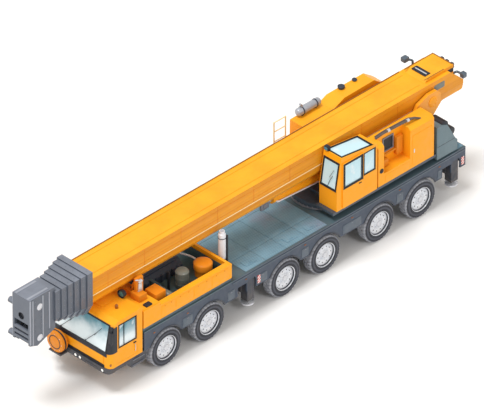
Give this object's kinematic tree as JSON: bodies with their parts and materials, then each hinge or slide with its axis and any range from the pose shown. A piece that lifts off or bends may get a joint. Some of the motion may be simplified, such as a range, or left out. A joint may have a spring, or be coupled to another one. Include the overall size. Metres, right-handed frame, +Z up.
{
  "type": "mobile crane",
  "caption": "All-terrain mobile crane: axled carrier with driver's cab, slewing superstructure with operator's cab, and a telescopic boom lowered for travel.",
  "frame": {"origin": "on the ground at the centre of the crane's bounding box, under the boom's mid length", "axes": "+X to the front of the crane, +Y to the driver's left, +Z up"},
  "size_m": [19.2, 3, 4.44],
  "materials": {
    "yellow_paint": "satin orange-yellow machine paint",
    "dark_paint": "satin near-black paint",
    "slate_paint": "satin blue-grey paint",
    "boom_grey": "satin grey paint",
    "bright_steel": "bare and polished steel",
    "tyre_rubber": "matte black rubber",
    "tinted_glass": "clear, faintly blue",
    "seat_fabric": "woven dark grey"
  },
  "bodies": {
    "carrier": {"carrier_frame": "slate_paint", "drive_axles": "dark_paint", "front_deck": "yellow_paint", "carrier_engine": "dark_paint", "air_filter": "slate_paint", "exhaust_stack": "bright_steel", "boom_rest": "yellow_paint", "driver_cab_shell": "yellow_paint", "driver_windscreen": "tinted_glass", "driver_cab_interior": "seat_fabric", "front_bumper": "dark_paint", "hook_block": "yellow_paint"},
    "driver_door_left": {"driver_door_left": "yellow_paint"},
    "driver_door_right": {"driver_door_right": "yellow_paint"},
    "knuckle_1_left": {"knuckle_1_left": "dark_paint"},
    "wheel_1_left": {"wheel_1_left": "tyre_rubber"},
    "knuckle_1_right": {"knuckle_1_right": "dark_paint"},
    "wheel_1_right": {"wheel_1_right": "tyre_rubber"},
    "knuckle_2_left": {"knuckle_2_left": "dark_paint"},
    "wheel_2_left": {"wheel_2_left": "tyre_rubber"},
    "knuckle_2_right": {"knuckle_2_right": "dark_paint"},
    "wheel_2_right": {"wheel_2_right": "tyre_rubber"},
    "wheel_3_left": {"wheel_3_left": "tyre_rubber"},
    "wheel_3_right": {"wheel_3_right": "tyre_rubber"},
    "wheel_4_left": {"wheel_4_left": "tyre_rubber"},
    "wheel_4_right": {"wheel_4_right": "tyre_rubber"},
    "knuckle_5_left": {"knuckle_5_left": "dark_paint"},
    "wheel_5_left": {"wheel_5_left": "tyre_rubber"},
    "knuckle_5_right": {"knuckle_5_right": "dark_paint"},
    "wheel_5_right": {"wheel_5_right": "tyre_rubber"},
    "knuckle_6_left": {"knuckle_6_left": "dark_paint"},
    "wheel_6_left": {"wheel_6_left": "tyre_rubber"},
    "knuckle_6_right": {"knuckle_6_right": "dark_paint"},
    "wheel_6_right": {"wheel_6_right": "tyre_rubber"},
    "outrigger_beam_front_left": {"outrigger_beam_front_left": "dark_paint"},
    "outrigger_jack_front_left": {"outrigger_jack_front_left": "bright_steel"},
    "outrigger_beam_front_right": {"outrigger_beam_front_right": "dark_paint"},
    "outrigger_jack_front_right": {"outrigger_jack_front_right": "bright_steel"},
    "outrigger_beam_rear_left": {"outrigger_beam_rear_left": "dark_paint"},
    "outrigger_jack_rear_left": {"outrigger_jack_rear_left": "bright_steel"},
    "outrigger_beam_rear_right": {"outrigger_beam_rear_right": "dark_paint"},
    "outrigger_jack_rear_right": {"outrigger_jack_rear_right": "bright_steel"},
    "superstructure": {"superstructure_frame": "yellow_paint", "hoist_winch": "dark_paint", "left_house": "yellow_paint", "engine_house": "yellow_paint", "counterweight": "slate_paint", "operator_cab_shell": "yellow_paint", "operator_seat": "seat_fabric"},
    "operator_door": {"operator_door": "yellow_paint"},
    "boom_base": {"boom_base": "yellow_paint", "boom_collar": "boom_grey"},
    "boom_section_1": {"boom_section_1": "boom_grey"},
    "boom_section_2": {"boom_section_2": "boom_grey"},
    "boom_section_3": {"boom_section_3": "boom_grey"},
    "boom_section_4": {"boom_section_4": "boom_grey"},
    "boom_section_5": {"boom_section_5": "boom_grey"},
    "luffing_barrel": {"luffing_barrel": "boom_grey"},
    "luffing_rod": {"luffing_rod": "bright_steel"}
  },
  "joints": [
    {"name": "slew", "type": "hinge", "parent": "carrier", "child": "superstructure", "pos_m": [-3.8, 0, 1.95], "axis": [0, 0, 1], "continuous": true},
    {"name": "boom_luff", "type": "hinge", "parent": "superstructure", "child": "boom_base", "pos_m": [-8.05, 0, 3.5], "axis": [0, -1, 0], "range_deg": [0, 82]},
    {"name": "boom_slide_1", "type": "slide", "parent": "boom_base", "child": "boom_section_1", "axis": [1, 0, 0], "range_m": [0, 9]},
    {"name": "boom_slide_2", "type": "slide", "parent": "boom_section_1", "child": "boom_section_2", "axis": [1, 0, 0], "range_m": [0, 9]},
    {"name": "boom_slide_3", "type": "slide", "parent": "boom_section_2", "child": "boom_section_3", "axis": [1, 0, 0], "range_m": [0, 9]},
    {"name": "boom_slide_4", "type": "slide", "parent": "boom_section_3", "child": "boom_section_4", "axis": [1, 0, 0], "range_m": [0, 9]},
    {"name": "boom_slide_5", "type": "slide", "parent": "boom_section_4", "child": "boom_section_5", "axis": [1, 0, 0], "range_m": [0, 9]},
    {"name": "luffing_foot", "type": "hinge", "parent": "superstructure", "child": "luffing_barrel", "pos_m": [-6.2, 0, 2.26], "axis": [0, -1, 0], "range_deg": [0, 86]},
    {"name": "luffing_stroke", "type": "slide", "parent": "luffing_barrel", "child": "luffing_rod", "axis": [0.9973, 0, 0.0733], "range_m": [0, 2.889]},
    {"name": "operator_door_slide", "type": "slide", "parent": "superstructure", "child": "operator_door", "axis": [-1, 0, 0], "range_m": [0, 0.6]},
    {"name": "driver_door_left_hinge", "type": "hinge", "parent": "carrier", "child": "driver_door_left", "pos_m": [6.7997, 1.45, 1.8], "axis": [0, 0, -1], "range_deg": [0, 70]},
    {"name": "driver_door_right_hinge", "type": "hinge", "parent": "carrier", "child": "driver_door_right", "pos_m": [6.7997, -1.45, 1.8], "axis": [0, 0, 1], "range_deg": [0, 70]},
    {"name": "steer_1_left", "type": "hinge", "parent": "carrier", "child": "knuckle_1_left", "pos_m": [4.67, 1.02, 0.68], "axis": [0, 0, 1], "range_deg": [-25, 25]},
    {"name": "spin_1_left", "type": "hinge", "parent": "knuckle_1_left", "child": "wheel_1_left", "pos_m": [4.67, 1.305, 0.68], "axis": [0, 1, 0], "continuous": true},
    {"name": "steer_1_right", "type": "hinge", "parent": "carrier", "child": "knuckle_1_right", "pos_m": [4.67, -1.02, 0.68], "axis": [0, 0, 1], "range_deg": [-25, 25]},
    {"name": "spin_1_right", "type": "hinge", "parent": "knuckle_1_right", "child": "wheel_1_right", "pos_m": [4.67, -1.305, 0.68], "axis": [0, 1, 0], "continuous": true},
    {"name": "steer_2_left", "type": "hinge", "parent": "carrier", "child": "knuckle_2_left", "pos_m": [2.75, 1.02, 0.68], "axis": [0, 0, 1], "range_deg": [-17.5, 17.5]},
    {"name": "spin_2_left", "type": "hinge", "parent": "knuckle_2_left", "child": "wheel_2_left", "pos_m": [2.75, 1.305, 0.68], "axis": [0, 1, 0], "continuous": true},
    {"name": "steer_2_right", "type": "hinge", "parent": "carrier", "child": "knuckle_2_right", "pos_m": [2.75, -1.02, 0.68], "axis": [0, 0, 1], "range_deg": [-17.5, 17.5]},
    {"name": "spin_2_right", "type": "hinge", "parent": "knuckle_2_right", "child": "wheel_2_right", "pos_m": [2.75, -1.305, 0.68], "axis": [0, 1, 0], "continuous": true},
    {"name": "spin_3_left", "type": "hinge", "parent": "carrier", "child": "wheel_3_left", "pos_m": [-0.65, 1.305, 0.68], "axis": [0, 1, 0], "continuous": true},
    {"name": "spin_3_right", "type": "hinge", "parent": "carrier", "child": "wheel_3_right", "pos_m": [-0.65, -1.305, 0.68], "axis": [0, 1, 0], "continuous": true},
    {"name": "spin_4_left", "type": "hinge", "parent": "carrier", "child": "wheel_4_left", "pos_m": [-2.45, 1.305, 0.68], "axis": [0, 1, 0], "continuous": true},
    {"name": "spin_4_right", "type": "hinge", "parent": "carrier", "child": "wheel_4_right", "pos_m": [-2.45, -1.305, 0.68], "axis": [0, 1, 0], "continuous": true},
    {"name": "steer_5_left", "type": "hinge", "parent": "carrier", "child": "knuckle_5_left", "pos_m": [-4.9, 1.02, 0.68], "axis": [0, 0, 1], "range_deg": [-10, 10]},
    {"name": "spin_5_left", "type": "hinge", "parent": "knuckle_5_left", "child": "wheel_5_left", "pos_m": [-4.9, 1.305, 0.68], "axis": [0, 1, 0], "continuous": true},
    {"name": "steer_5_right", "type": "hinge", "parent": "carrier", "child": "knuckle_5_right", "pos_m": [-4.9, -1.02, 0.68], "axis": [0, 0, 1], "range_deg": [-10, 10]},
    {"name": "spin_5_right", "type": "hinge", "parent": "knuckle_5_right", "child": "wheel_5_right", "pos_m": [-4.9, -1.305, 0.68], "axis": [0, 1, 0], "continuous": true},
    {"name": "steer_6_left", "type": "hinge", "parent": "carrier", "child": "knuckle_6_left", "pos_m": [-6.78, 1.02, 0.68], "axis": [0, 0, 1], "range_deg": [-16.25, 16.25]},
    {"name": "spin_6_left", "type": "hinge", "parent": "knuckle_6_left", "child": "wheel_6_left", "pos_m": [-6.78, 1.305, 0.68], "axis": [0, 1, 0], "continuous": true},
    {"name": "steer_6_right", "type": "hinge", "parent": "carrier", "child": "knuckle_6_right", "pos_m": [-6.78, -1.02, 0.68], "axis": [0, 0, 1], "range_deg": [-16.25, 16.25]},
    {"name": "spin_6_right", "type": "hinge", "parent": "knuckle_6_right", "child": "wheel_6_right", "pos_m": [-6.78, -1.305, 0.68], "axis": [0, 1, 0], "continuous": true},
    {"name": "outrigger_slide_front_left", "type": "slide", "parent": "carrier", "child": "outrigger_beam_front_left", "axis": [0, 1, 0], "range_m": [0, 1.9]},
    {"name": "jack_front_left", "type": "slide", "parent": "outrigger_beam_front_left", "child": "outrigger_jack_front_left", "axis": [0, 0, -1], "range_m": [0, 0.6]},
    {"name": "outrigger_slide_front_right", "type": "slide", "parent": "carrier", "child": "outrigger_beam_front_right", "axis": [0, -1, 0], "range_m": [0, 1.9]},
    {"name": "jack_front_right", "type": "slide", "parent": "outrigger_beam_front_right", "child": "outrigger_jack_front_right", "axis": [0, 0, -1], "range_m": [0, 0.6]},
    {"name": "outrigger_slide_rear_left", "type": "slide", "parent": "carrier", "child": "outrigger_beam_rear_left", "axis": [0, 1, 0], "range_m": [0, 1.9]},
    {"name": "jack_rear_left", "type": "slide", "parent": "outrigger_beam_rear_left", "child": "outrigger_jack_rear_left", "axis": [0, 0, -1], "range_m": [0, 0.6]},
    {"name": "outrigger_slide_rear_right", "type": "slide", "parent": "carrier", "child": "outrigger_beam_rear_right", "axis": [0, -1, 0], "range_m": [0, 1.9]},
    {"name": "jack_rear_right", "type": "slide", "parent": "outrigger_beam_rear_right", "child": "outrigger_jack_rear_right", "axis": [0, 0, -1], "range_m": [0, 0.6]}
  ],
  "couplings": [
    {"joint": "boom_slide_2", "follows": "boom_slide_1", "ratio": 1},
    {"joint": "boom_slide_3", "follows": "boom_slide_1", "ratio": 1},
    {"joint": "boom_slide_4", "follows": "boom_slide_1", "ratio": 1},
    {"joint": "boom_slide_5", "follows": "boom_slide_1", "ratio": 1},
    {"joint": "luffing_foot", "follows": "boom_luff", "ratio": 1.0481},
    {"joint": "luffing_stroke", "follows": "boom_luff", "m_per_rad": 2.018},
    {"joint": "steer_1_right", "follows": "steer_1_left", "ratio": 1},
    {"joint": "steer_2_left", "follows": "steer_1_left", "ratio": 0.7},
    {"joint": "steer_2_right", "follows": "steer_1_left", "ratio": 0.7},
    {"joint": "steer_5_left", "follows": "steer_1_left", "ratio": -0.4},
    {"joint": "steer_5_right", "follows": "steer_1_left", "ratio": -0.4},
    {"joint": "steer_6_left", "follows": "steer_1_left", "ratio": -0.65},
    {"joint": "steer_6_right", "follows": "steer_1_left", "ratio": -0.65}
  ]
}
